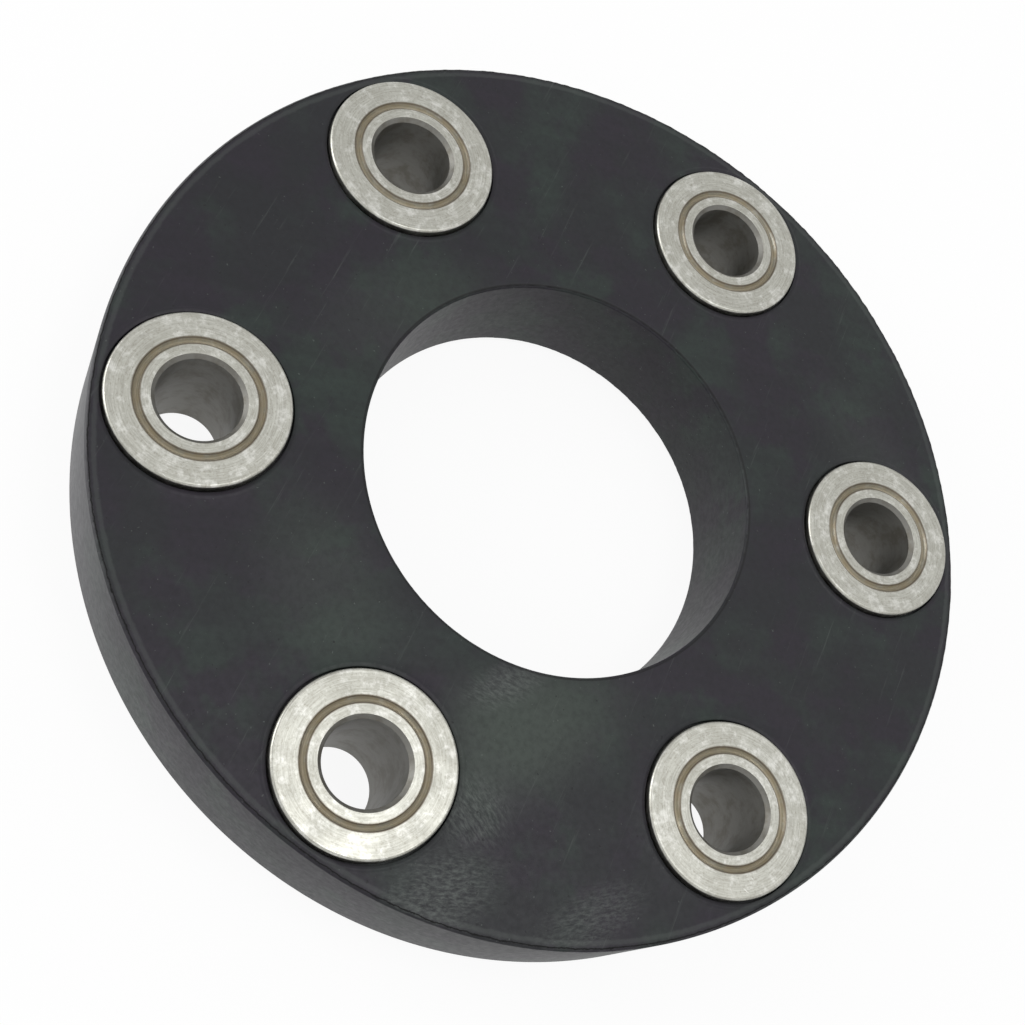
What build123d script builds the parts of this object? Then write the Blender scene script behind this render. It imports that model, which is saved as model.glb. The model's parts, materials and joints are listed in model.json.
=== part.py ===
from build123d import *
import os

# Disc coupling: a moulded rubber disc that passes torque between two shaft flanges. Steel bushes
# run through it on one bolt circle. Each bush is a plain sleeve with a washer pressed over either
# end, and alternate bushes bolt to the driving flange and to the driven one.
# The origin is on the disc's axis, in the plane of the lower washers' faces, and +Z is the axis.
# All sizes are in millimetres.

# Rubber disc
disc_diameter = 160.0
disc_thickness = 21.0
centre_hole_diameter = 71.5
disc_edge_radius = 0.6

# Bushes, set evenly on one bolt circle that lies as near the rim as the washers' seats allow
bush_count = 6
rim_wall = 1.6  # rubber left between a seat and the disc's outer face

# Sleeves
sleeve_bore_diameter = 14.0
sleeve_wall = 3.0
bore_chamfer = 0.7

# Washers
washer_diameter = 30.0
washer_thickness = 2.5
washer_proud = 1.0  # how far a washer's face stands above the rubber
washer_edge_chamfer = 0.3
seat_gap = 0.4  # moat in the rubber round a washer's rim

# V groove that two chamfers leave where a washer meets the end of its sleeve
groove_half_width = 0.6
groove_depth = 0.9

# Sizes that follow
disc_radius = disc_diameter / 2
centre_hole_radius = centre_hole_diameter / 2
bore_radius = sleeve_bore_diameter / 2
sleeve_radius = bore_radius + sleeve_wall
washer_radius = washer_diameter / 2
seat_radius = washer_radius + seat_gap
seat_depth = washer_thickness - washer_proud
bush_circle_radius = disc_radius - rim_wall - seat_radius
half_length = disc_thickness / 2 + washer_proud  # of a sleeve, from the disc's middle plane

# The middle plane seen from above and from below: x is the same, and z points out of each side
upper_side = Plane(origin=(0, 0, half_length), x_dir=(1, 0, 0), z_dir=(0, 0, 1))
lower_side = Plane(origin=(0, 0, half_length), x_dir=(1, 0, 0), z_dir=(0, 0, -1))
bush_places = PolarLocations(bush_circle_radius, bush_count).locations


def section_at(place, side):
    """The plane that cuts a bush along its axis: x runs outwards and y out of the given side."""
    spot = side.origin + place.position
    return Plane(origin=spot, x_dir=(1, 0, 0), z_dir=Vector(1, 0, 0).cross(side.z_dir))


def bush_axis(place):
    """The line through the middle of a bush, along the disc's own axis."""
    return Axis(place.position, (0, 0, 1))


os.makedirs("parts", exist_ok=True)

# One moulding: a ring with rounded edges, a hole for each sleeve and a seat round it on each side
with BuildPart() as rubber_disc:
    with BuildSketch(Plane.XZ) as ring_section:
        with Locations(((disc_radius + centre_hole_radius) / 2, half_length)):
            Rectangle(disc_radius - centre_hole_radius, disc_thickness)
        fillet(ring_section.vertices(), disc_edge_radius)
    revolve(axis=Axis.Z)
    for side in (upper_side, lower_side):
        with Locations(side.offset(disc_thickness / 2)):
            with PolarLocations(bush_circle_radius, bush_count):
                CounterBoreHole(sleeve_radius, seat_radius, seat_depth)
rubber_disc.part.label = "rubber_disc"
export_step(rubber_disc.part, "parts/rubber_disc.step")

# Sleeves: turned tubes, countersunk for the bolt and chamfered outside for the groove
for number, place in enumerate(bush_places, start=1):
    with BuildPart() as sleeve:
        with BuildSketch(section_at(place, upper_side)):
            with BuildLine():
                Polyline(
                    (bore_radius, 0),
                    (bore_radius, half_length - bore_chamfer),
                    (bore_radius + bore_chamfer, half_length),
                    (sleeve_radius - groove_half_width, half_length),
                    (sleeve_radius, half_length - groove_depth),
                    (sleeve_radius, 0),
                    close=True,
                )
            make_face()
            mirror(about=Plane.XZ)
        revolve(axis=bush_axis(place))
    sleeve.part.label = f"sleeve_{number}"
    export_step(sleeve.part, f"parts/sleeve_{number}.step")

# Washers: one in each seat, flush with the end of its sleeve
for side_name, side in (("upper", upper_side), ("lower", lower_side)):
    for number, place in enumerate(bush_places, start=1):
        with BuildPart() as washer:
            with BuildSketch(section_at(place, side)):
                with BuildLine():
                    Polyline(
                        (sleeve_radius, half_length - washer_thickness),
                        (sleeve_radius, half_length - groove_depth),
                        (sleeve_radius + groove_half_width, half_length),
                        (washer_radius - washer_edge_chamfer, half_length),
                        (washer_radius, half_length - washer_edge_chamfer),
                        (washer_radius, half_length - washer_thickness),
                        close=True,
                    )
                make_face()
            revolve(axis=bush_axis(place))
        washer.part.label = f"{side_name}_washer_{number}"
        export_step(washer.part, f"parts/{side_name}_washer_{number}.step")
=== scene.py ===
"""Disc coupling: a moulded rubber disc with steel bushes, built round its fixed CAD model.

Every piece is a surface worked out on a grid of two parameters. Lengths are in metres. The origin is
on the disc's axis, in the plane of the lower washers' faces, and +Z is the axis.
"""

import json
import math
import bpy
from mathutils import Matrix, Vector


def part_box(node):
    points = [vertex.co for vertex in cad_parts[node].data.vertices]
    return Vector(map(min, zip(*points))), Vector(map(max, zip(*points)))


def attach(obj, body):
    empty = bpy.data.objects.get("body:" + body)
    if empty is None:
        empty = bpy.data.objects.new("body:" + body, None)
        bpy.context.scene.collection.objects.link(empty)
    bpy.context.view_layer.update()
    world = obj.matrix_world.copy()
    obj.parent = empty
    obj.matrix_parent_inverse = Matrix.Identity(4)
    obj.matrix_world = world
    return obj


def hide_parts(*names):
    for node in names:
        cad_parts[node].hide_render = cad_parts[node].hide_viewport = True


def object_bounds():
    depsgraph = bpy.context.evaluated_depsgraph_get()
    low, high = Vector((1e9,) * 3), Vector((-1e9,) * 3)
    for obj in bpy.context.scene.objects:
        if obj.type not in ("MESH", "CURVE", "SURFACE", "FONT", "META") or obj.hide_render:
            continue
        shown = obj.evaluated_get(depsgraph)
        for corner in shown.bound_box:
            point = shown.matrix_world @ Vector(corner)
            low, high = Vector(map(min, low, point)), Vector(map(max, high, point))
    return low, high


bl_info = {
    "name": "Disc Coupling",
    "version": (1, 0, 0),
    "blender": (4, 5, 0),
    "location": "3D View > Sidebar > Coupling",
    "description": "Builds a moulded rubber disc coupling with steel bushes, and a studio for it",
    "category": "Object",
}

import bmesh
import bpy
import numpy as np
from bpy.props import (
    FloatProperty,
    FloatVectorProperty,
    IntProperty,
    PointerProperty,
)
from mathutils import Matrix, Vector

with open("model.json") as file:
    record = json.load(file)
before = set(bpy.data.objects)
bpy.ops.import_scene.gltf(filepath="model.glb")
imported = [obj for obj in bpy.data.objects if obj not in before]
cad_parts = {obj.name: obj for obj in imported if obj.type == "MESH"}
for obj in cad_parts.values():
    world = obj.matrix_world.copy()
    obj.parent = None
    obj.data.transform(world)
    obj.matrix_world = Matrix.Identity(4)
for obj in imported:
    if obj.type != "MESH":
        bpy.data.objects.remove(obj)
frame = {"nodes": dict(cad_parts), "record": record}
cad_low, cad_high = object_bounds()

MM = 0.001
MERGE_DISTANCE = 1e-7
SHARP_ANGLE = math.radians(38)
FLOOR_HALF_WIDTH = 2.0
LAMP_DISTANCE = 1.0


# ---------------------------------------------------------------- what the frame says


def mount_radius(name):
    """Radius of a bore that the CAD model's record names, in metres."""
    for mount in frame["record"]["mounts"]:
        if mount["name"] == name:
            return mount["dims"]["r_mm"] * MM
    raise RuntimeError(f"the record has no mount named {name}")


def bush_numbers():
    """The bushes' numbers, which end the names of the sleeves' nodes."""
    prefix = "sleeve_"
    return sorted(int(name[len(prefix):]) for name in frame["nodes"] if name.startswith(prefix))


def node_centre(node):
    """Middle of a CAD node's box."""
    low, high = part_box(node)
    return (low + high) / 2


def node_radius(node):
    """Half of a round CAD node's width."""
    low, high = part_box(node)
    return (high.x - low.x) / 2


def linear(red, green, blue):
    """A colour written as three screen values of 0 to 255, as linear light."""
    screen = np.array([red, green, blue]) / 255
    return tuple(np.where(screen <= 0.04045, screen / 12.92, ((screen + 0.055) / 1.055) ** 2.4))


# ---------------------------------------------------------------- settings


class DiscCouplingRubber(bpy.types.PropertyGroup):
    """Sizes and colours of the rubber disc."""

    centre_hole_radius: FloatProperty(
        name="Centre hole radius",
        description="Radius of the hole in the middle of the disc",
        default=mount_radius("centre_bore"),
        unit="LENGTH",
        precision=5,
    )
    edge_radius: FloatProperty(
        name="Edge radius",
        description="Rounding between the disc's faces and its walls",
        default=0.6 * MM,
        unit="LENGTH",
        precision=5,
    )
    seat_gap: FloatProperty(
        name="Seat gap",
        description="Width of the moat between a washer's rim and the rubber",
        default=0.4 * MM,
        unit="LENGTH",
        precision=5,
    )
    lip_width: FloatProperty(
        name="Lip width",
        description="Width of the raised ring of rubber round a seat",
        default=1.1 * MM,
        unit="LENGTH",
        precision=5,
    )
    lip_height: FloatProperty(
        name="Lip height",
        description="Height of the raised ring of rubber round a seat",
        default=0.10 * MM,
        unit="LENGTH",
        precision=5,
    )
    ragged_depth: FloatProperty(
        name="Ragged depth",
        description="How deep the torn flash bites into the disc's edges",
        default=0.16 * MM,
        unit="LENGTH",
        precision=5,
    )
    base_colour: FloatVectorProperty(
        name="Rubber",
        description="Main colour of the rubber",
        subtype="COLOR",
        min=0,
        max=1,
        default=linear(26, 27, 31),
    )
    bloom_colour: FloatVectorProperty(
        name="Grey-green bloom",
        description="Colour of the dusty patches",
        subtype="COLOR",
        min=0,
        max=1,
        default=linear(34, 44, 40),
    )
    purple_colour: FloatVectorProperty(
        name="Purple cast",
        description="Colour of the bare patches",
        subtype="COLOR",
        min=0,
        max=1,
        default=linear(29, 24, 34),
    )
    scuff_colour: FloatVectorProperty(
        name="Scuffs",
        description="Colour of the pale scuffs and streaks",
        subtype="COLOR",
        min=0,
        max=1,
        default=linear(132, 140, 134),
    )


class DiscCouplingSteel(bpy.types.PropertyGroup):
    """Sizes and colours of the steel sleeves and washers."""

    bore_radius: FloatProperty(
        name="Bore radius",
        description="Radius of the hole through a sleeve",
        default=mount_radius("bush_bore_1"),
        unit="LENGTH",
        precision=5,
    )
    bore_chamfer: FloatProperty(
        name="Bore chamfer",
        description="Chamfer at either end of a sleeve's bore",
        default=0.7 * MM,
        unit="LENGTH",
        precision=5,
    )
    groove_half_width: FloatProperty(
        name="Groove half width",
        description="Half the width of the V groove between a sleeve and its washer",
        default=0.6 * MM,
        unit="LENGTH",
        precision=5,
    )
    groove_depth: FloatProperty(
        name="Groove depth",
        description="Depth of the V groove between a sleeve and its washer",
        default=0.9 * MM,
        unit="LENGTH",
        precision=5,
    )
    washer_chamfer: FloatProperty(
        name="Washer chamfer",
        description="Chamfer on a washer's rim",
        default=0.3 * MM,
        unit="LENGTH",
        precision=5,
    )
    edge_break: FloatProperty(
        name="Edge break",
        description="Small rounding on every steel edge",
        default=0.08 * MM,
        unit="LENGTH",
        precision=5,
    )
    rim_rounding: FloatProperty(
        name="Rim rounding",
        description="Rounding of the corners on a washer's rim",
        default=0.4 * MM,
        unit="LENGTH",
        precision=5,
    )
    segments: IntProperty(
        name="Segments",
        description="Steps round each sleeve and washer",
        default=144,
        min=32,
    )
    steel_colour: FloatVectorProperty(
        name="Steel",
        description="Colour of the turned steel",
        subtype="COLOR",
        min=0,
        max=1,
        default=linear(184, 184, 176),
    )
    stain_colour: FloatVectorProperty(
        name="Stain",
        description="Colour of the brown film in the groove",
        subtype="COLOR",
        min=0,
        max=1,
        default=linear(160, 150, 128),
    )
    bore_colour: FloatVectorProperty(
        name="Bore",
        description="Colour of the dull film inside the bores",
        subtype="COLOR",
        min=0,
        max=1,
        default=linear(120, 119, 114),
    )


class DiscCouplingStudio(bpy.types.PropertyGroup):
    """Where the camera and the lamps stand."""

    aim: FloatVectorProperty(
        name="Aim",
        description="Point that the lens's axis passes through",
        subtype="TRANSLATION",
        precision=5,
        default=(14.38 * MM, -13.69 * MM, 11.5 * MM),
    )
    azimuth: FloatProperty(
        name="Azimuth",
        description="Bearing of the camera from the aim, from +X",
        subtype="ANGLE",
        default=math.radians(-75.63),
    )
    elevation: FloatProperty(
        name="Elevation",
        description="Height of the camera over the floor, as an angle",
        subtype="ANGLE",
        default=math.radians(61.91),
    )
    roll: FloatProperty(
        name="Roll",
        description="Turn of the camera about its own axis",
        subtype="ANGLE",
        default=math.radians(51.84),
    )
    distance: FloatProperty(
        name="Distance",
        description="Distance from the camera to the aim",
        default=260.8 * MM,
        unit="LENGTH",
    )
    lens: FloatProperty(
        name="Lens",
        description="Focal length for a 36 mm sensor",
        default=53.06,
        unit="CAMERA",
    )
    shift: FloatProperty(
        name="Shift",
        description="Vertical shift of the lens, as a share of the frame",
        default=0.08,
    )
    overhead_power: FloatProperty(
        name="Overhead lamp",
        description="Power of the round lamp overhead",
        default=1.8,
        unit="POWER",
    )
    side_power: FloatProperty(
        name="Side lamp",
        description="Power of the wide lamp at the side",
        default=4.0,
        unit="POWER",
    )
    sky_strength: FloatProperty(
        name="Sky",
        description="Strength of the even light from all round",
        default=0.8,
    )


# ---------------------------------------------------------------- surfaces


class Sheet:
    """A grid of points with rows along one parameter and columns along the other.

    finish holds the material's index, for all its faces or for each column of them.
    """

    def __init__(self, points, close_rows=False, close_columns=False, finish=0):
        self.points = np.asarray(points, float)
        self.close_rows = close_rows
        self.close_columns = close_columns
        self.finish = finish

    def quads(self, first):
        """Corners of each cell of the grid: (i, j), (i+1, j), (i+1, j+1), (i, j+1), counted from first."""
        rows, columns = self.points.shape[:2]
        row = np.arange(rows if self.close_rows else rows - 1)
        column = np.arange(columns if self.close_columns else columns - 1)
        row, column = np.meshgrid(row, column, indexing="ij")
        next_row = (row + 1) % rows
        next_column = (column + 1) % columns
        corners = (
            row * columns + column,
            next_row * columns + column,
            next_row * columns + next_column,
            row * columns + next_column,
        )
        finish = np.broadcast_to(np.asarray(self.finish), row.shape)
        return first + np.stack(corners, -1).reshape(-1, 4), finish.reshape(-1)


def enclosed_volume(points, quads):
    """Sum over each face's two triangles of a . (b x c) / 6: positive when faces point outwards."""
    a, b, c, d = (points[quads[:, k]] for k in range(4))
    halves = np.einsum("ij,ij->i", a, np.cross(b, c)) + np.einsum("ij,ij->i", a, np.cross(c, d))
    return halves.sum() / 6


def mesh_from_sheets(name, sheets, materials):
    """One closed mesh from sheets that meet along their edges. Points that coincide are merged."""
    points = np.concatenate([sheet.points.reshape(-1, 3) for sheet in sheets])
    starts = np.cumsum([0] + [sheet.points[..., 0].size for sheet in sheets[:-1]])
    quads, finishes = zip(*(sheet.quads(first) for sheet, first in zip(sheets, starts)))
    quads = np.concatenate(quads)
    finishes = np.concatenate(finishes)
    if enclosed_volume(points, quads) <= 0:
        raise RuntimeError(f"{name} is inside out")

    mesh = bpy.data.meshes.new(name)
    mesh.vertices.add(len(points))
    mesh.vertices.foreach_set("co", points.astype(np.float32).ravel())
    mesh.loops.add(quads.size)
    mesh.loops.foreach_set("vertex_index", quads.astype(np.int32).ravel())
    mesh.polygons.add(len(quads))
    mesh.polygons.foreach_set("loop_start", np.arange(0, quads.size, 4, dtype=np.int32))
    mesh.polygons.foreach_set("material_index", finishes.astype(np.int32))
    mesh.update(calc_edges=True)

    work = bmesh.new()
    work.from_mesh(mesh)
    bmesh.ops.remove_doubles(work, verts=work.verts, dist=MERGE_DISTANCE)
    open_edges = sum(not edge.is_manifold for edge in work.edges)
    work.to_mesh(mesh)
    work.free()
    if open_edges:
        raise RuntimeError(f"{name} has {open_edges} open edges")
    if mesh.validate():
        raise RuntimeError(f"{name} has broken faces")
    mesh.shade_smooth()
    mesh.set_sharp_from_angle(angle=SHARP_ANGLE)
    for material in materials:
        mesh.materials.append(material)
    return mesh


def add_piece(name, mesh, slot, *nodes):
    """Puts a mesh in the scene in place of CAD nodes, riding on the coupling's one body."""
    piece = bpy.data.objects.new(name, mesh)
    bpy.context.scene.collection.objects.link(piece)
    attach(piece, "root")
    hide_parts(*nodes)
    return piece


def rounded_profile(corners, radii, steps=4, support=0.03 * MM):
    """A closed profile whose corners are rounded, all by one radius or each by its own.

    With unit vectors u and v from a corner to its neighbours and half the angle between them h, the arc's
    centre lies radius / sin h along u + v, and the arc starts and ends radius / tan h from the corner. Its
    points turn evenly from start to end. A point either side of the arc keeps the flats flat.
    """
    corners = np.asarray(corners, float)
    turn = np.linspace(0, 1, steps + 1)[:, None]
    radii = np.broadcast_to(radii, len(corners))
    stretches = []
    neighbours = zip(np.roll(corners, 1, 0), corners, np.roll(corners, -1, 0), radii)
    for before, corner, after, radius in neighbours:
        u = (before - corner) / np.linalg.norm(before - corner)
        v = (after - corner) / np.linalg.norm(after - corner)
        half = math.acos(np.clip(u @ v, -1, 1)) / 2
        reach = radius / math.tan(half)
        centre = corner + (u + v) / np.linalg.norm(u + v) * radius / math.sin(half)
        start = corner + u * reach - centre
        end = corner + v * reach - centre
        sweep = math.pi - 2 * half
        arc = centre + (np.sin((1 - turn) * sweep) * start + np.sin(turn * sweep) * end) / math.sin(sweep)
        stretches += [corner + u * (reach + support), arc, corner + v * (reach + support)]
    return np.vstack(stretches)


def lathe(profile, centre, segments):
    """A closed profile carried round an upright axis.

    The point (r, z) goes to centre + (r cos a, r sin a, z).
    """
    angle = np.linspace(0, 2 * math.pi, segments, endpoint=False)[:, None]
    radius, height = profile[:, 0], profile[:, 1]
    points = np.stack(
        [
            centre.x + radius * np.cos(angle),
            centre.y + radius * np.sin(angle),
            np.broadcast_to(height, (segments, len(profile))),
        ],
        -1,
    )
    return Sheet(points, close_rows=True, close_columns=True)


def store_offset(mesh, centre):
    """Keeps each point's offset from its bush's axis, which the turning marks follow."""
    offset = np.empty(len(mesh.vertices) * 3, np.float32)
    mesh.vertices.foreach_get("co", offset)
    offset = offset.reshape(-1, 3) - np.array([centre.x, centre.y, 0], np.float32)
    attribute = mesh.attributes.new("bush_offset", "FLOAT_VECTOR", "POINT")
    attribute.data.foreach_set("vector", offset.ravel())


# ---------------------------------------------------------------- rubber disc

OUTER_STEPS = 150  # along a sector's outer arc
INNER_STEPS = 60  # along a sector's inner arc
SIDE_STEPS = 26  # along either straight side of a sector
LIP_STEPS = 6
FACE_STEPS = 6


def ragged(angle, seed, low=20, high=330, waves=70):
    """A torn edge: the sum of sines of whole numbers of waves round the disc, each with its own phase."""
    random = np.random.default_rng(seed)
    count = random.integers(low, high, waves)[:, None]
    phase = random.uniform(0, 2 * math.pi, waves)[:, None]
    tear = np.sin(count * angle + phase).sum(0) / math.sqrt(waves / 2)
    return np.clip(0.5 + 0.5 * tear, 0, 2)


def sector_boundary(inner, outer, half_angle):
    """Outline of one sector of a ring, as points that go round it anticlockwise.

    The outer arc, the straight side at +half_angle, the inner arc backwards and the straight side at
    -half_angle, each evenly divided.
    """
    sweep_out = np.linspace(-half_angle, half_angle, OUTER_STEPS, endpoint=False)
    sweep_back = np.linspace(half_angle, -half_angle, INNER_STEPS, endpoint=False)
    inwards = np.linspace(outer, inner, SIDE_STEPS, endpoint=False)
    outwards = np.linspace(inner, outer, SIDE_STEPS, endpoint=False)
    radius = np.concatenate([np.full(OUTER_STEPS, outer), inwards, np.full(INNER_STEPS, inner), outwards])
    angle = np.concatenate(
        [sweep_out, np.full(SIDE_STEPS, half_angle), sweep_back, np.full(SIDE_STEPS, -half_angle)]
    )
    return radius * np.cos(angle), radius * np.sin(angle)


def sector_sheet(
    settings, bush_radius, hole_radius, seat_radius, seat_floor, outer, top, middle, bearing, half
):
    """Upper skin of one sector of the disc, round its bush.

    Rows go round the bush, towards each point of the sector's outline. Columns go outwards: up the wall
    of the sleeve's hole, over the seat's floor, up its wall, over the lip, which is a height of
    sin squared, and along the flat face to the outline.
    """
    edge_x, edge_y = sector_boundary(
        settings.centre_hole_radius + settings.edge_radius, outer - settings.edge_radius, half
    )
    away_x = edge_x - bush_radius
    reach = np.hypot(away_x, edge_y)[:, None]
    direction_x = away_x[:, None] / reach
    direction_y = edge_y[:, None] / reach
    seat = np.array(
        [
            (hole_radius, middle),
            (hole_radius, seat_floor),
            (seat_radius, seat_floor),
            (seat_radius, top - 0.12 * MM),
            (seat_radius + 0.02 * MM, top - 0.04 * MM),
            (seat_radius + 0.08 * MM, top),
        ]
    )
    lip_start = seat[-1, 0]
    lip_end = np.minimum(lip_start + settings.lip_width, reach - 0.05 * MM)
    lip_share = np.linspace(0, 1, LIP_STEPS + 1)[1:]
    face_share = np.linspace(0, 1, FACE_STEPS + 1)[1:]
    distance = np.hstack(
        [
            np.broadcast_to(seat[:, 0], (len(reach), len(seat))),
            lip_start + (lip_end - lip_start) * lip_share,
            lip_end + (reach - lip_end) * face_share,
        ]
    )
    height = np.concatenate(
        [
            seat[:, 1],
            top + settings.lip_height * np.sin(math.pi * lip_share) ** 2,
            np.full(FACE_STEPS, top),
        ]
    )
    x = bush_radius + distance * direction_x
    y = distance * direction_y
    turned_x = x * math.cos(bearing) - y * math.sin(bearing)
    turned_y = x * math.sin(bearing) + y * math.cos(bearing)
    return np.stack([turned_x, turned_y, np.broadcast_to(height, x.shape)], -1)


def wall_sheet(radius, side, edge_radius, bottom, top, angle, ragged_depth, seed):
    """A wall of the disc with its two rounded edges, carried round the disc.

    Columns go over the upper edge's quarter circle, down the wall and round the lower edge. Each edge is
    pushed in along its own normal by the torn line, most in the middle of the quarter circle. side is
    +1 for the outer wall and -1 for the hole's.
    """
    quarter = np.linspace(0, math.pi / 2, 9)
    bite = np.sin(2 * quarter) ** 4
    inset = radius - side * edge_radius
    upper_tear = ragged_depth * ragged(angle, seed)[:, None] * bite
    lower_tear = ragged_depth * ragged(angle, seed + 1)[:, None] * bite
    upper_reach = inset + side * (edge_radius - upper_tear) * np.sin(quarter)
    upper_height = top - edge_radius + (edge_radius - upper_tear) * np.cos(quarter)
    lower_reach = inset + side * (edge_radius - lower_tear) * np.sin(quarter)
    lower_height = bottom + edge_radius - (edge_radius - lower_tear) * np.cos(quarter)
    reach = np.hstack([upper_reach, lower_reach[:, ::-1]])
    height = np.hstack([upper_height, lower_height[:, ::-1]])
    around = angle[:, None]
    return np.stack([reach * np.cos(around), reach * np.sin(around), height], -1)


def rubber_sheets(settings, numbers):
    """All sheets of the rubber disc: a sector round each bush, above and below, and the two walls."""
    low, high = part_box("rubber_disc")
    sleeve_low, sleeve_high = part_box("sleeve_1")
    outer = node_radius("rubber_disc")
    middle = (low.z + high.z) / 2
    bush_radius = math.hypot(*node_centre("sleeve_1").xy)
    hole_radius = (sleeve_high.x - sleeve_low.x) / 2
    seat_radius = node_radius("upper_washer_1") + settings.seat_gap
    seat_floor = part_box("upper_washer_1")[0].z
    half = math.pi / len(numbers)

    sheets = []
    for number in numbers:
        centre = node_centre(f"sleeve_{number}")
        bearing = math.atan2(centre.y, centre.x)
        upper = sector_sheet(
            settings, bush_radius, hole_radius, seat_radius, seat_floor,
            outer, high.z, middle, bearing, half,
        )
        lower = upper * (1, 1, -1) + (0, 0, 2 * middle)
        sheets.append(Sheet(upper[:, ::-1], close_rows=True))
        sheets.append(Sheet(lower, close_rows=True))

    turns = np.arange(len(numbers))[:, None] * 2 * half
    outer_angle = (turns + np.linspace(-half, half, OUTER_STEPS, endpoint=False)).ravel()
    inner_angle = (turns + np.linspace(-half, half, INNER_STEPS, endpoint=False)).ravel()
    outer_wall = wall_sheet(
        outer, 1, settings.edge_radius, low.z, high.z, outer_angle, settings.ragged_depth, seed=3
    )
    hole_wall = wall_sheet(
        settings.centre_hole_radius, -1, settings.edge_radius, low.z, high.z, inner_angle,
        settings.ragged_depth, seed=8,
    )
    sheets.append(Sheet(outer_wall[:, ::-1], close_rows=True))
    sheets.append(Sheet(hole_wall, close_rows=True))
    return sheets


# ---------------------------------------------------------------- shader helpers


class Shader:
    """A material's node tree, with a short call for each kind of node that the finishes use."""

    def __init__(self, name):
        self.material = bpy.data.materials.new(name)
        self.material.use_nodes = True
        self.tree = self.material.node_tree
        self.tree.nodes.clear()

    def add(self, kind, sockets=None, **settings):
        """A node of this kind. sockets gives values or links by the socket's name or number."""
        node = self.tree.nodes.new("ShaderNode" + kind)
        for name, value in settings.items():
            setattr(node, name, value)
        for key, value in (sockets or {}).items():
            if isinstance(value, bpy.types.NodeSocket):
                self.tree.links.new(value, node.inputs[key])
            else:
                node.inputs[key].default_value = value
        return node

    def math(self, operation, *values):
        """One Math node."""
        return self.add("Math", dict(enumerate(values)), operation=operation).outputs[0]

    def vector(self, operation, *values):
        """One Vector Math node's vector."""
        return self.add("VectorMath", dict(enumerate(values)), operation=operation).outputs[0]

    def length(self, value):
        """Length of a vector."""
        return self.add("VectorMath", {0: value}, operation="LENGTH").outputs["Value"]

    def place(self, value, scale=(1, 1, 1), turn=0.0, centre=(0, 0, 0)):
        """Coordinates moved so that centre is at the origin, then turned about Z, then scaled."""
        moved = self.vector("SUBTRACT", value, centre)
        turned = self.add("Mapping", {"Vector": moved, "Rotation": (0, 0, turn)}).outputs[0]
        return self.add("Mapping", {"Vector": turned, "Scale": scale}).outputs[0]

    def noise(self, value, scale, detail=3.0, roughness=0.5):
        """Soft cloud from 0 to 1, with its scale in lumps for each unit of value."""
        sockets = {"Vector": value, "Scale": scale, "Detail": detail, "Roughness": roughness}
        return self.add("TexNoise", sockets).outputs[0]

    def step(self, value, low, high, to_low=0.0, to_high=1.0):
        """A smooth step from to_low, where value is low, to to_high, where it is high."""
        sockets = {0: value, 1: low, 2: high, 3: to_low, 4: to_high}
        return self.add("MapRange", sockets, interpolation_type="SMOOTHSTEP").outputs[0]

    def band(self, value, middle, half_width, softness):
        """1 within half_width of middle, falling to 0 over softness on either side."""
        away = self.math("ABSOLUTE", self.math("SUBTRACT", value, middle))
        return self.step(away, half_width + softness, half_width)

    def mix(self, share, a, b):
        """Colour a with a share of colour b mixed in."""
        sockets = {0: share, 6: self.colour(a), 7: self.colour(b)}
        return self.add("Mix", sockets, data_type="RGBA").outputs[2]

    @staticmethod
    def colour(value):
        """A colour with its alpha, or the socket that gives one."""
        return value if isinstance(value, bpy.types.NodeSocket) else (*tuple(value)[:3], 1.0)

    def finish(self, sockets):
        """Ends the tree in one Principled shader."""
        surface = self.add("BsdfPrincipled", sockets)
        self.add("OutputMaterial", {"Surface": surface.outputs[0]})
        return self.material


# ---------------------------------------------------------------- finishes


def speckled(shader, place, scale, low, high):
    """Small separate dots: the tops of a fine cloud."""
    return shader.step(shader.noise(place, scale, 2, 0.5), low, high)


def patch(shader, place, centre, size, turn=0.0):
    """1 near the middle of an oval, falling smoothly to 0 at its rim. The oval runs the full height."""
    scale = (1 / size[0], 1 / size[1], 0)
    away = shader.length(shader.place(place, scale=scale, turn=-turn, centre=centre))
    return shader.step(away, 1.0, 0.15)


def on_upper_face(shader, upper, share, strength):
    """A share of a patch that shows on the upper face alone."""
    return shader.math("MULTIPLY", share, shader.math("MULTIPLY", upper, strength))


def strokes(shader, place, turn, long_scale, fine_scale, low, high):
    """Fine lines along one direction: a cloud drawn out along it."""
    drawn = shader.place(place, scale=(long_scale, fine_scale, fine_scale), turn=-turn)
    return shader.step(shader.noise(drawn, 1.0, 4, 0.7), low, high)


# Scuffed places on the upper face, in millimetres: centre, size, direction of the strokes, strength
SCUFFS = (
    ((45.0, -42.0, 0), (9.0, 9.0), math.radians(10), 0.30),
    ((54.0, -52.0, 0), (9.0, 14.0), math.radians(62), 0.34),
    ((68.0, -31.0, 0), (6.0, 14.0), math.radians(75), 0.24),
    ((29.0, -27.0, 0), (5.0, 11.0), math.radians(40), 0.28),
)
# Lighter grey-green places on the upper face, partly dust and partly painted sheen: centre, size, strength
DUST_AND_SHEENS = (
    ((37.0, -29.0, 0), (15.0, 28.0), 0.80),
    ((4.0, -48.0, 0), (24.0, 15.0), 0.35),
    ((-36.0, -14.0, 0), (14.0, 26.0), 0.30),
    ((20.0, 62.0, 0), (26.0, 12.0), 0.25),
)


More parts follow.
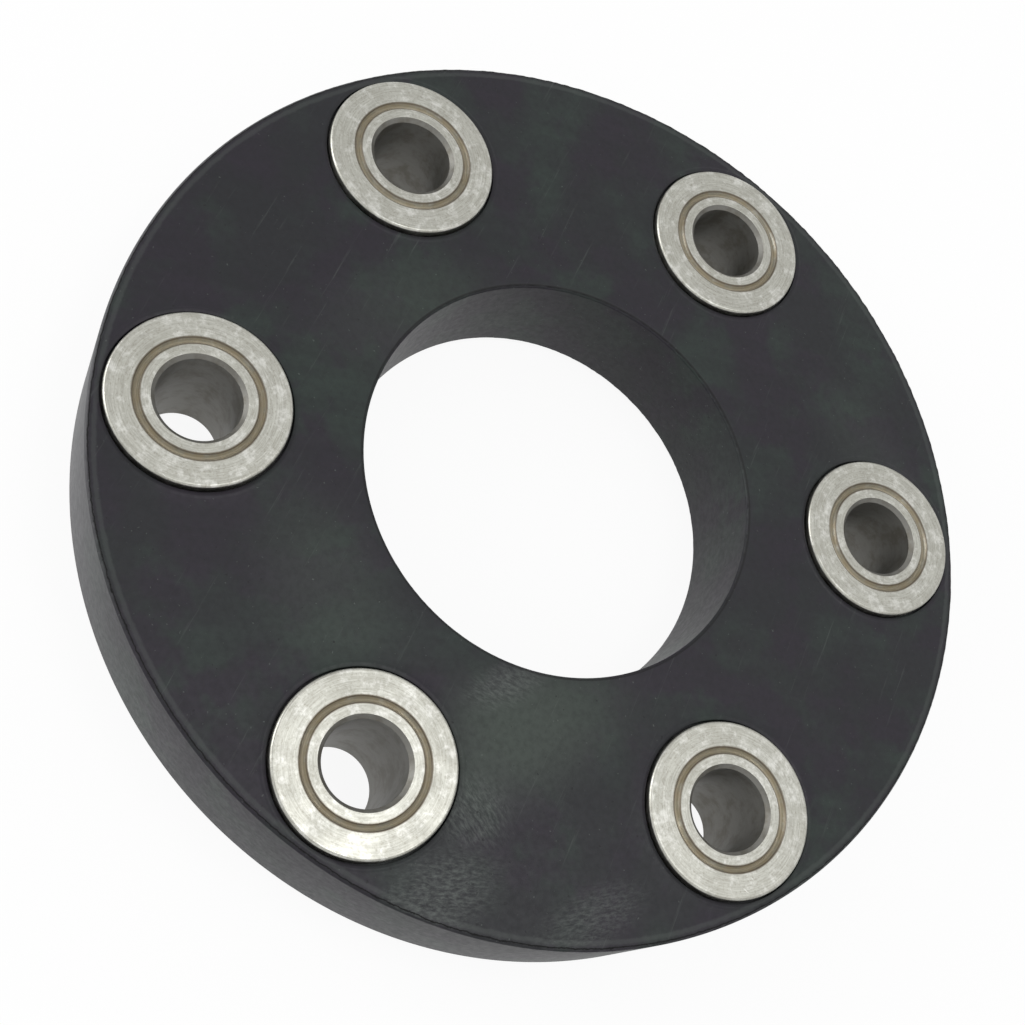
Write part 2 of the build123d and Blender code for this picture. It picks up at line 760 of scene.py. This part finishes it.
def rubber_finish(settings):
    """Moulded rubber: charcoal with purple and grey-green patches, fine grain, specks and scuffs, painted
    sheen on the upper face, painted light on one side of the outer wall, and painted shade in the pits and
    along the torn edges.
    """
    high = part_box("rubber_disc")[1]
    shader = Shader("Moulded rubber")
    place = shader.place(shader.add("TexCoord").outputs["Object"], scale=(1 / MM, 1 / MM, 1 / MM))
    outer = node_radius("rubber_disc") / MM
    hole = settings.centre_hole_radius / MM
    across = shader.length(shader.place(place, scale=(1, 1, 0)))
    height = shader.add("SeparateXYZ", {0: place}).outputs["Z"]
    upper = shader.step(height, high.z / MM - 0.3, high.z / MM - 0.1)

    # Patches of bloom and bare rubber, and the grain
    cloud = shader.noise(place, 0.05, 4, 0.55)
    cast = shader.noise(shader.place(place, centre=(40, 90, 0)), 0.075, 4, 0.6)
    grain = shader.noise(place, 0.9, 5, 0.65)
    drawn = shader.noise(shader.place(place, scale=(0.35, 0.04, 0.1), turn=math.radians(30)), 1.0, 4, 0.6)
    colour = shader.mix(shader.step(cloud, 0.42, 0.64), settings.base_colour, settings.bloom_colour)
    colour = shader.mix(shader.step(cast, 0.46, 0.62), colour, settings.purple_colour)
    colour = shader.mix(shader.step(drawn, 0.3, 0.7, 0.0, 0.45), colour, (0.006, 0.007, 0.009))
    # Partly painted sheen: the upper face is made paler grey-green in these places
    for centre, size, strength in DUST_AND_SHEENS:
        share = on_upper_face(shader, upper, patch(shader, place, centre, size), strength)
        colour = shader.mix(share, colour, linear(56, 64, 58))
    colour = shader.mix(shader.step(grain, 0.35, 0.75, 0.0, 0.30), colour, (0.003, 0.003, 0.004))

    # Painted light: the outer wall is paler grey on the side of the disc that faces the side lamp
    wall = shader.step(across, outer - 0.5, outer - 0.1)
    painted_lit_wall = shader.math("MULTIPLY", wall, patch(shader, place, (-56, -57, 0), (72, 72)))
    colour = shader.mix(shader.math("MULTIPLY", painted_lit_wall, 0.85), colour, linear(84, 84, 86))

    # Specks everywhere, long faint streaks, and the scuffed places
    speck = speckled(shader, place, 1.5, 0.70, 0.76)
    pale = shader.math("MULTIPLY", speck, 0.16)
    shaded_pit = speckled(shader, shader.place(place, centre=(7, 3, 2)), 0.9, 0.72, 0.75)
    streak = strokes(shader, place, math.radians(-52), 0.05, 1.1, 0.60, 0.78)
    pale = shader.math("MAXIMUM", pale, shader.math("MULTIPLY", streak, 0.10))
    for centre, size, turn, strength in SCUFFS:
        lines = strokes(shader, place, turn, 0.8, 2.0, 0.34, 0.78)
        share = on_upper_face(shader, upper, patch(shader, place, centre, size), strength)
        pale = shader.math("MAXIMUM", pale, shader.math("MULTIPLY", share, lines))
    colour = shader.mix(pale, colour, settings.scuff_colour)
    # Painted shade: the pits, which the bump also sinks, are darkened almost to black
    colour = shader.mix(shader.math("MULTIPLY", shaded_pit, 0.7), colour, (0.002, 0.002, 0.003))

    # Painted shadow: a wandering dark line just inside the face's outer edge and a fainter one at the hole,
    # with a faint paler band beside the outer line
    wobble = shader.noise(place, 0.55, 4, 0.75)
    wandering = shader.math("ADD", across, shader.math("MULTIPLY_ADD", wobble, 0.7, -0.35))
    face = shader.step(across, outer - 0.08, outer - 0.3)
    line = shader.math("MULTIPLY", face, shader.band(wandering, outer - 0.50, 0.04, 0.14))
    pale_band = shader.band(wandering, outer - 1.35, 0.15, 0.45)
    hole_shadow_line = shader.band(across, hole + 0.45, 0.10, 0.15)
    colour = shader.mix(shader.math("MULTIPLY", pale_band, 0.07), colour, settings.scuff_colour)
    painted_edge_shadow = shader.math("MAXIMUM", line, shader.math("MULTIPLY", hole_shadow_line, 0.7))
    painted_edge_shadow = shader.math("MULTIPLY", painted_edge_shadow, 0.9)
    colour = shader.mix(painted_edge_shadow, colour, (0.001, 0.001, 0.001))

    rough = shader.step(grain, 0.2, 0.8, 0.42, 0.54)
    rough = shader.math("MAXIMUM", rough, shader.math("MULTIPLY", painted_edge_shadow, 0.95))
    relief = shader.math("MULTIPLY_ADD", grain, 0.5, shader.math("MULTIPLY", pale, 0.6))
    sunk = shader.math("MAXIMUM", shaded_pit, shader.math("MULTIPLY", painted_edge_shadow, 1.5))
    relief = shader.math("SUBTRACT", relief, sunk)
    bump = shader.add("Bump", {"Height": relief, "Strength": 0.4, "Distance": 0.06 * MM})
    return shader.finish(
        {
            "Base Color": colour,
            "Roughness": rough,
            "Specular IOR Level": 0.30,
            "Normal": bump.outputs[0],
        }
    )


def steel_finish(settings):
    """Turned steel: fine rings round the bush, specks, pale patches that are partly painted highlight,
    scratches, and a groove film with painted shade and a painted light line in it.
    """
    shader = Shader("Turned steel")
    place = shader.place(shader.add("TexCoord").outputs["Object"], scale=(1 / MM, 1 / MM, 1 / MM))
    offset = shader.add("Attribute", attribute_name="bush_offset").outputs["Vector"]
    flat = shader.place(offset, scale=(1 / MM, 1 / MM, 0))
    radius = shader.length(flat)
    bearing = shader.vector("NORMALIZE", flat)
    groove = node_radius("sleeve_1") / MM

    # Rings: noise whose coordinates are the unit vector round the bush and the radius
    around = shader.vector("MULTIPLY", bearing, (2.6, 2.6, 0))
    outward = shader.add("CombineXYZ", {2: shader.math("MULTIPLY", radius, 4.5)}).outputs[0]
    turned = shader.vector("ADD", around, outward)
    ring_place = shader.vector("ADD", turned, shader.place(place, (0.03, 0.03, 0)))
    ring = shader.noise(ring_place, 1.0, 5, 0.75)
    speck = shader.noise(place, 2.4, 3, 0.65)
    cloud = shader.noise(place, 0.18, 4, 0.6)
    scratch = strokes(shader, place, math.radians(25), 0.25, 3.0, 0.62, 0.72)
    scratched = shader.step(shader.noise(place, 0.12, 2, 0.5), 0.50, 0.62)
    scratch = shader.math("MULTIPLY", scratch, scratched)

    colour = shader.mix(shader.step(ring, 0.38, 0.60, 0.0, 0.42), settings.steel_colour, (0.20, 0.19, 0.16))
    colour = shader.mix(shader.step(speck, 0.50, 0.70, 0.0, 0.36), colour, (0.17, 0.155, 0.12))
    colour = shader.mix(shader.step(cloud, 0.35, 0.7, 0.0, 0.22), colour, (0.22, 0.215, 0.18))
    # Pale patches and scratches mixed towards near-white: the patches are partly paler steel and partly
    # painted highlight
    bloom = shader.noise(shader.place(place, centre=(3, 5, 0)), 0.5, 5, 0.7)
    bright = shader.step(bloom, 0.48, 0.68, 0.0, 0.32)
    bright = shader.math("MAXIMUM", bright, shader.math("MULTIPLY", scratch, 0.6))
    colour = shader.mix(bright, colour, (0.9, 0.9, 0.87))

    # A brown film in the groove, duller than the steel, with painted shade at its edges and a painted light
    # line at the bottom
    film = shader.band(radius, groove, settings.groove_half_width / MM - 0.08, 0.16)
    patchy = shader.step(shader.noise(place, 0.35, 4, 0.65), 0.36, 0.62, 0.25, 0.95)
    film = shader.math("MULTIPLY", film, patchy)
    corner = shader.band(radius, groove + settings.groove_half_width / MM, 0.05, 0.20)
    rim = shader.band(radius, groove - settings.groove_half_width / MM, 0.05, 0.18)
    bottom = shader.band(radius, groove, 0.08, 0.20)
    colour = shader.mix(film, colour, settings.stain_colour)
    # Painted shade: the groove's two edges are darkened; painted light: a paler line along its bottom
    edges = shader.math("MULTIPLY", shader.math("MAXIMUM", corner, rim), 0.75)
    colour = shader.mix(edges, colour, linear(70, 58, 42))
    colour = shader.mix(shader.math("MULTIPLY", bottom, 0.60), colour, linear(206, 200, 186))
    bare = shader.math("MULTIPLY_ADD", film, -0.45, 1.0)

    rough = shader.step(cloud, 0.3, 0.7, 0.33, 0.45)
    relief = shader.math("MULTIPLY_ADD", ring, 1.0, shader.math("MULTIPLY", speck, 0.7))
    bump = shader.add("Bump", {"Height": relief, "Strength": 0.35, "Distance": 0.02 * MM})
    return shader.finish(
        {
            "Base Color": colour,
            "Metallic": bare,
            "Roughness": rough,
            "Normal": bump.outputs[0],
        }
    )


def bore_finish(settings):
    """Inside a bore: dull grey steel under a mottled brownish film, with faint marks round it."""
    shader = Shader("Dull bore")
    place = shader.place(shader.add("TexCoord").outputs["Object"], scale=(1 / MM, 1 / MM, 1 / MM))
    cloud = shader.noise(place, 0.30, 4, 0.65)
    marks = shader.noise(shader.place(place, scale=(0.15, 0.15, 2.2)), 1.0, 4, 0.7)
    colour = shader.mix(shader.step(cloud, 0.4, 0.68, 0.0, 0.7), settings.bore_colour, linear(92, 88, 78))
    colour = shader.mix(shader.step(marks, 0.45, 0.75, 0.0, 0.16), colour, linear(60, 56, 56))
    return shader.finish({"Base Color": colour, "Metallic": 0.75, "Roughness": 0.5})


# ---------------------------------------------------------------- operators


class DISCCOUPLING_OT_rubber_disc(bpy.types.Operator):
    """Build the moulded rubber disc"""

    bl_idname = "disc_coupling.rubber_disc"
    bl_label = "Rubber Disc"

    def execute(self, context):
        settings = context.scene.disc_coupling_rubber
        sheets = rubber_sheets(settings, bush_numbers())
        mesh = mesh_from_sheets("RubberDisc", sheets, [rubber_finish(settings)])
        add_piece("RubberDisc", mesh, "rubber", "rubber_disc")
        return {"FINISHED"}


def sleeve_profile(settings, low, high, radius):
    """Half section of a sleeve: a chamfered bore, and a steeper chamfer outside for the groove."""
    bore = settings.bore_radius
    chamfer = settings.bore_chamfer
    half_width = settings.groove_half_width
    depth = settings.groove_depth
    return [
        (bore, low + chamfer),
        (bore + chamfer, low),
        (radius - half_width, low),
        (radius, low + depth),
        (radius, high - depth),
        (radius - half_width, high),
        (bore + chamfer, high),
        (bore, high - chamfer),
    ]


class DISCCOUPLING_OT_sleeves(bpy.types.Operator):
    """Build the steel sleeves that run through the disc"""

    bl_idname = "disc_coupling.sleeves"
    bl_label = "Sleeves"

    def execute(self, context):
        settings = context.scene.disc_coupling_steel
        steel = bpy.data.materials.get("Turned steel") or steel_finish(settings)
        materials = [steel, bore_finish(settings)]
        for number in bush_numbers():
            node = f"sleeve_{number}"
            low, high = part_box(node)
            corners = sleeve_profile(settings, low.z, high.z, node_radius(node))
            profile = rounded_profile(corners, settings.edge_break)
            sheet = lathe(profile, node_centre(node), settings.segments)
            farthest = np.maximum(profile[:, 0], np.roll(profile[:, 0], -1))
            sheet.finish = (farthest < settings.bore_radius + settings.bore_chamfer).astype(int)
            mesh = mesh_from_sheets(f"Sleeve{number}", [sheet], materials)
            store_offset(mesh, node_centre(node))
            add_piece(f"Sleeve{number}", mesh, "sleeve_steel", node)
        return {"FINISHED"}


def washer_profile(settings, low, high, inner, outer, side):
    """Half section of a washer whose outer face looks to side, and its corners' roundings.

    The inner edge has the groove's chamfer, and the rim a fine one with soft corners.
    """
    face, back = (high, low) if side > 0 else (low, high)
    corners = [
        (inner, back),
        (outer, back),
        (outer, face - side * settings.washer_chamfer),
        (outer - settings.washer_chamfer, face),
        (inner + settings.groove_half_width, face),
        (inner, face - side * settings.groove_depth),
    ]
    radii = [settings.edge_break] * 2 + [settings.rim_rounding] * 2 + [settings.edge_break] * 2
    return (corners, radii) if side > 0 else (corners[::-1], radii[::-1])


class DISCCOUPLING_OT_washers(bpy.types.Operator):
    """Build the washers at both ends of each sleeve"""

    bl_idname = "disc_coupling.washers"
    bl_label = "Washers"

    def execute(self, context):
        settings = context.scene.disc_coupling_steel
        materials = [bpy.data.materials.get("Turned steel") or steel_finish(settings)]
        for number in bush_numbers():
            inner = node_radius(f"sleeve_{number}")
            for word, side in (("upper", 1), ("lower", -1)):
                node = f"{word}_washer_{number}"
                low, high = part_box(node)
                corners, radii = washer_profile(settings, low.z, high.z, inner, node_radius(node), side)
                profile = rounded_profile(corners, radii)
                sheet = lathe(profile, node_centre(node), settings.segments)
                name = f"{word.title()}Washer{number}"
                mesh = mesh_from_sheets(name, [sheet], materials)
                store_offset(mesh, node_centre(node))
                add_piece(name, mesh, "washer_steel", node)
        return {"FINISHED"}


# ---------------------------------------------------------------- studio


def white_for_camera(tree, lit, white):
    """lit for light that bounces off dull surfaces, and white where the camera, metal or glass looks."""
    path = tree.nodes.new("ShaderNodeLightPath")
    seen = tree.nodes.new("ShaderNodeMath")
    seen.operation = "MAXIMUM"
    tree.links.new(path.outputs["Is Camera Ray"], seen.inputs[0])
    tree.links.new(path.outputs["Is Glossy Ray"], seen.inputs[1])
    through = tree.nodes.new("ShaderNodeMath")
    through.operation = "MAXIMUM"
    tree.links.new(seen.outputs[0], through.inputs[0])
    tree.links.new(path.outputs["Is Transmission Ray"], through.inputs[1])
    mix = tree.nodes.new("ShaderNodeMixShader")
    tree.links.new(through.outputs[0], mix.inputs[0])
    tree.links.new(lit, mix.inputs[1])
    tree.links.new(white, mix.inputs[2])
    return mix.outputs[0]


def floor_finish(shadow_share=0.08):
    """Pale floor that is white to the camera and keeps a share of the coupling's shadow."""
    shader = Shader("Pale floor")
    pale = shader.add("BsdfDiffuse", {"Color": (0.85, 0.85, 0.85, 1)}).outputs[0]
    glow = shader.add("Emission", {"Strength": 1.0}).outputs[0]
    bright = shader.add("MixShader", {0: 1 - shadow_share, 1: pale, 2: glow}).outputs[0]
    surface = white_for_camera(shader.tree, pale, bright)
    shader.add("OutputMaterial", {"Surface": surface})
    return shader.material


def sky(strength):
    """Even light from all round, white to the camera."""
    world = bpy.data.worlds.new("Studio sky")
    world.use_nodes = True
    tree = world.node_tree
    tree.nodes.clear()
    lit = tree.nodes.new("ShaderNodeBackground")
    lit.inputs["Strength"].default_value = strength
    white = tree.nodes.new("ShaderNodeBackground")
    for background in (lit, white):
        background.inputs["Color"].default_value = (1, 1, 1, 1)
    output = tree.nodes.new("ShaderNodeOutputWorld")
    tree.links.new(white_for_camera(tree, lit.outputs[0], white.outputs[0]), output.inputs["Surface"])
    return world


def add_lamp(name, aim, bearing, elevation, distance, size, power):
    """A round lamp that looks at aim from a bearing and an elevation."""
    light = bpy.data.lights.new(name, "AREA")
    light.shape = "DISK"
    light.size = size
    light.energy = power
    lamp = bpy.data.objects.new(name, light)
    away = Vector(
        (
            math.cos(elevation) * math.cos(bearing),
            math.cos(elevation) * math.sin(bearing),
            math.sin(elevation),
        )
    )
    facing = away.to_track_quat("Z", "Y").to_matrix().to_4x4()
    lamp.matrix_world = Matrix.Translation(aim + away * distance) @ facing
    lamp.visible_camera = False
    bpy.context.scene.collection.objects.link(lamp)
    return lamp


def add_camera(settings):
    """The camera, level at first and then rolled about its own axis."""
    away = Vector(
        (
            math.cos(settings.elevation) * math.cos(settings.azimuth),
            math.cos(settings.elevation) * math.sin(settings.azimuth),
            math.sin(settings.elevation),
        )
    )
    right = Vector((0, 0, 1)).cross(away).normalized()
    level = Matrix((right, away.cross(right), away)).transposed()
    turned = level @ Matrix.Rotation(settings.roll, 3, "Z")
    camera = bpy.data.objects.new("Camera", bpy.data.cameras.new("Camera"))
    camera.data.lens = settings.lens
    camera.data.sensor_width = 36
    camera.data.shift_y = settings.shift
    camera.data.clip_start = 0.01
    spot = Vector(settings.aim) + away * settings.distance
    camera.matrix_world = Matrix.Translation(spot) @ turned.to_4x4()
    bpy.context.scene.collection.objects.link(camera)
    bpy.context.scene.camera = camera


class DISCCOUPLING_OT_studio(bpy.types.Operator):
    """Build the pale floor, the lamps, the even light and the camera"""

    bl_idname = "disc_coupling.studio"
    bl_label = "Studio"

    def execute(self, context):
        settings = context.scene.disc_coupling_studio
        half = FLOOR_HALF_WIDTH
        floor_mesh = bpy.data.meshes.new("Floor")
        ground = cad_low[2]
        corners = [(x, y, ground) for x, y in ((-half, -half), (half, -half), (half, half), (-half, half))]
        floor_mesh.from_pydata(corners, [], [(0, 1, 2, 3)])
        floor_mesh.materials.append(floor_finish())
        floor = bpy.data.objects.new("Floor", floor_mesh)
        context.scene.collection.objects.link(floor)

        context.scene.world = sky(settings.sky_strength)
        middle = Vector((0, 0, (cad_low[2] + cad_high[2]) / 2))
        lamps = (
            ("Overhead lamp", 48, 78, 0.32, settings.overhead_power),
            ("Side lamp", -140, 20, 0.6, settings.side_power),
        )
        for name, bearing, elevation, size, power in lamps:
            angles = math.radians(bearing), math.radians(elevation)
            add_lamp(name, middle, *angles, LAMP_DISTANCE, size, power)
        add_camera(settings)
        context.scene.view_settings.view_transform = "Standard"
        return {"FINISHED"}


class DISCCOUPLING_PT_sidebar(bpy.types.Panel):
    """Settings and builders of the disc coupling"""

    bl_label = "Disc Coupling"
    bl_space_type = "VIEW_3D"
    bl_region_type = "UI"
    bl_category = "Coupling"

    def draw(self, context):
        scene = context.scene
        sections = (
            (scene.disc_coupling_rubber, (DISCCOUPLING_OT_rubber_disc,)),
            (scene.disc_coupling_steel, (DISCCOUPLING_OT_sleeves, DISCCOUPLING_OT_washers)),
            (scene.disc_coupling_studio, (DISCCOUPLING_OT_studio,)),
        )
        for settings, builders in sections:
            box = self.layout.box()
            for name in settings.__annotations__:
                box.prop(settings, name)
            for builder in builders:
                box.operator(builder.bl_idname)


CLASSES = (
    DiscCouplingRubber,
    DiscCouplingSteel,
    DiscCouplingStudio,
    DISCCOUPLING_OT_rubber_disc,
    DISCCOUPLING_OT_sleeves,
    DISCCOUPLING_OT_washers,
    DISCCOUPLING_OT_studio,
    DISCCOUPLING_PT_sidebar,
)


def register():
    """Adds the classes, and the settings to the scene."""
    for cls in CLASSES:
        bpy.utils.register_class(cls)
    bpy.types.Scene.disc_coupling_rubber = PointerProperty(type=DiscCouplingRubber)
    bpy.types.Scene.disc_coupling_steel = PointerProperty(type=DiscCouplingSteel)
    bpy.types.Scene.disc_coupling_studio = PointerProperty(type=DiscCouplingStudio)


def unregister():
    """Takes away what register added."""
    del bpy.types.Scene.disc_coupling_studio
    del bpy.types.Scene.disc_coupling_steel
    del bpy.types.Scene.disc_coupling_rubber
    for cls in reversed(CLASSES):
        bpy.utils.unregister_class(cls)


def main():
    register()
    bpy.ops.disc_coupling.rubber_disc()
    bpy.ops.disc_coupling.sleeves()
    bpy.ops.disc_coupling.washers()
    bpy.ops.disc_coupling.studio()


if __name__ == "__main__":
    main()
